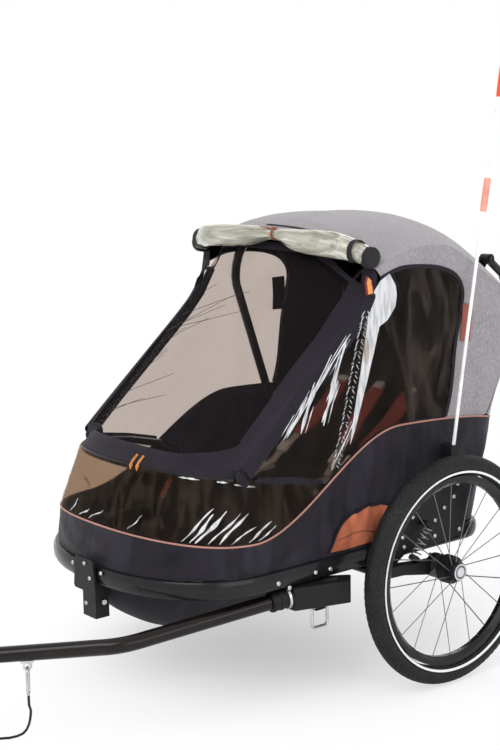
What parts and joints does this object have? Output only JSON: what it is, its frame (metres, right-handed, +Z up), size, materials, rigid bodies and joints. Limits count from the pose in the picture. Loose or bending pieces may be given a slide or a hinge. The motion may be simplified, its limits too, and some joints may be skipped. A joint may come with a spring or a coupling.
{
  "type": "child bike trailer",
  "caption": "Folding two-seat child bike trailer: fabric cabin on an oval-tube hoop, sprung spoked wheels, side-mounted drawbar, flag and push handle",
  "frame": {"origin": "Centre of the trailer's box on the floor, measured without the safety strap", "axes": "+X is the way the trailer travels, drawbar first; +Y is its left side; +Z is up"},
  "size_m": [1.6616, 0.841, 1.458],
  "materials": {
    "frame_black": "black powder coat",
    "plastic_black": "fine grain",
    "steel": "bright zinc",
    "tyre_rubber": "matt",
    "skirt_cloth": "coated weave",
    "grey_cloth": "melange weave",
    "lining_cloth": "weave",
    "coral_cloth": "weave",
    "piping": "cord edge",
    "net": "mesh",
    "clear_pvc": "clear film",
    "seat_cloth": "padded",
    "webbing": "webbing",
    "white_rod": "smooth",
    "foam_black": "foam",
    "elastomer": "moulded"
  },
  "bodies": {
    "chassis": {"chassis_frame": "frame_black", "skirt": "skirt_cloth", "skirt_piping": "piping", "footwell_tub": "skirt_cloth", "front_bar": "frame_black", "lower_window": "clear_pvc", "hinge_bracket_left": "frame_black", "hinge_bracket_right": "frame_black", "side_plate_left": "plastic_black", "side_plate_right": "plastic_black", "drawbar_receiver": "plastic_black", "front_socket": "plastic_black", "flag_holder": "plastic_black", "seat_cushion_left": "seat_cloth", "seat_cushion_right": "seat_cloth", "roof_cover": "grey_cloth", "side_panel_left": "grey_cloth", "side_panel_right": "grey_cloth", "side_window_left": "clear_pvc", "side_window_right": "clear_pvc", "front_net": "net", "rain_roll": "clear_pvc", "back_sling": "lining_cloth", "back_cushion_left": "seat_cloth", "back_cushion_right": "seat_cloth", "harness_left": "webbing", "harness_right": "webbing"},
    "front_hoop": {"front_hoop": "frame_black"},
    "rear_hoop": {"rear_hoop": "frame_black"},
    "front_pillars": {"front_pillar_left": "lining_cloth", "front_pillar_right": "lining_cloth"},
    "push_handle": {"push_handle": "frame_black", "handle_grip": "foam_black"},
    "brake_pedal": {"brake_pedal": "plastic_black"},
    "arm_left": {"trailing_arm_left": "plastic_black", "coil_spring_left": "steel"},
    "arm_right": {"trailing_arm_right": "plastic_black", "coil_spring_right": "steel"},
    "brake_pin_left": {"brake_pin_left": "steel"},
    "brake_pin_right": {"brake_pin_right": "steel"},
    "wheel_left": {"tyre_left": "tyre_rubber", "rim_left": "frame_black", "spoked_hub_left": "steel"},
    "wheel_right": {"tyre_right": "tyre_rubber", "rim_right": "frame_black", "spoked_hub_right": "steel"},
    "hub_button_left": {"hub_button_left": "steel"},
    "hub_button_right": {"hub_button_right": "steel"},
    "release_loop": {"release_loop": "steel"},
    "socket_button": {"socket_button": "steel"},
    "flag_pole": {"flag_pole": "white_rod", "flag": "coral_cloth"},
    "drawbar": {"drawbar": "frame_black", "dring_bracket": "steel", "carabiner": "steel", "safety_strap": "webbing"},
    "carabiner_gate": {"carabiner_gate": "steel"},
    "hitch_arm": {"hitch_arm": "elastomer"},
    "hitch_pin": {"hitch_pin": "steel"}
  },
  "joints": [
    {"name": "front_hoop_fold", "type": "hinge", "parent": "chassis", "child": "front_hoop", "pos_m": [-0.45622, 0, 0.352], "axis": [0, 1, 0], "range_deg": [0, 70], "deforming": ["roof_cover", "side_panel_left", "side_panel_right", "side_window_left", "side_window_right", "front_net", "rain_roll", "back_sling", "back_cushion_left", "back_cushion_right", "harness_left", "harness_right"]},
    {"name": "rear_hoop_fold", "type": "hinge", "parent": "chassis", "child": "rear_hoop", "pos_m": [-0.50622, 0, 0.352], "axis": [0, 1, 0], "range_deg": [0, 80]},
    {"name": "pillars_fold", "type": "hinge", "parent": "chassis", "child": "front_pillars", "pos_m": [0.11378, 0, 0.522], "axis": [0, -1, 0], "range_deg": [0, 40]},
    {"name": "push_handle_tilt", "type": "hinge", "parent": "rear_hoop", "child": "push_handle", "pos_m": [-0.67422, 0, 0.882], "axis": [0, 1, 0], "range_deg": [0, 110]},
    {"name": "brake_pedal_press", "type": "hinge", "parent": "chassis", "child": "brake_pedal", "pos_m": [-0.55222, 0, 0.2615], "axis": [0, -1, 0], "range_deg": [0, 25]},
    {"name": "arm_left_travel", "type": "hinge", "parent": "chassis", "child": "arm_left", "pos_m": [-0.20622, 0.337, 0.262], "axis": [0, 1, 0], "range_deg": [0, 12], "stiffness_Nm_per_rad": 330, "springref_deg": -5.16, "deforming": ["coil_spring_left"]},
    {"name": "brake_pin_left_slide", "type": "slide", "parent": "arm_left", "child": "brake_pin_left", "axis": [0, 1, 0], "range_m": [0, 0.0071]},
    {"name": "wheel_left_spin", "type": "hinge", "parent": "arm_left", "child": "wheel_left", "pos_m": [-0.35622, 0.392, 0.2501], "axis": [0, 1, 0], "continuous": true},
    {"name": "hub_button_left_press", "type": "slide", "parent": "wheel_left", "child": "hub_button_left", "axis": [0, -1, 0], "range_m": [0, 0.004], "stiffness_N_per_m": 500, "springref_m": -0.002},
    {"name": "arm_right_travel", "type": "hinge", "parent": "chassis", "child": "arm_right", "pos_m": [-0.20622, -0.337, 0.262], "axis": [0, 1, 0], "range_deg": [0, 12], "stiffness_Nm_per_rad": 330, "springref_deg": -5.16, "deforming": ["coil_spring_right"]},
    {"name": "brake_pin_right_slide", "type": "slide", "parent": "arm_right", "child": "brake_pin_right", "axis": [0, -1, 0], "range_m": [0, 0.0071]},
    {"name": "wheel_right_spin", "type": "hinge", "parent": "arm_right", "child": "wheel_right", "pos_m": [-0.35622, -0.392, 0.2501], "axis": [0, 1, 0], "continuous": true},
    {"name": "hub_button_right_press", "type": "slide", "parent": "wheel_right", "child": "hub_button_right", "axis": [0, 1, 0], "range_m": [0, 0.004], "stiffness_N_per_m": 500, "springref_m": -0.002},
    {"name": "release_loop_swing", "type": "hinge", "parent": "chassis", "child": "release_loop", "pos_m": [-0.05422, 0.3045, 0.2135], "axis": [1, 0, 0], "range_deg": [0, 60]},
    {"name": "socket_button_press", "type": "slide", "parent": "chassis", "child": "socket_button", "axis": [0, -1, 0], "range_m": [0, 0.003], "stiffness_N_per_m": 500, "springref_m": -0.002},
    {"name": "flag_pole_pull", "type": "slide", "parent": "chassis", "child": "flag_pole", "axis": [-0.158, 0, 0.9874], "range_m": [0, 0.1]},
    {"name": "drawbar_slide", "type": "slide", "parent": "chassis", "child": "drawbar", "axis": [0.9733, -0.2052, -0.1025], "range_m": [0, 0.12]},
    {"name": "hitch_arm_swing", "type": "hinge", "parent": "drawbar", "child": "hitch_arm", "pos_m": [0.81578, 0, 0.16659], "axis": [0, -1, 0], "range_deg": [0, 105]},
    {"name": "hitch_pin_pull", "type": "slide", "parent": "hitch_arm", "child": "hitch_pin", "axis": [0, 1, 0], "range_m": [0, 0.04]},
    {"name": "carabiner_gate_swing", "type": "hinge", "parent": "drawbar", "child": "carabiner_gate", "pos_m": [0.51437, 0.08903, 0.12416], "axis": [-0.738, 0.6748, 0], "range_deg": [0, 25], "stiffness_Nm_per_rad": 0.02, "springref_deg": -8.59}
  ],
  "couplings": [
    {"joint": "rear_hoop_fold", "follows": "front_hoop_fold", "ratio": 1.14},
    {"joint": "pillars_fold", "follows": "front_hoop_fold", "ratio": 0.57},
    {"joint": "brake_pin_left_slide", "follows": "brake_pedal_press", "m_per_rad": 0.016},
    {"joint": "brake_pin_right_slide", "follows": "brake_pedal_press", "m_per_rad": 0.016}
  ]
}
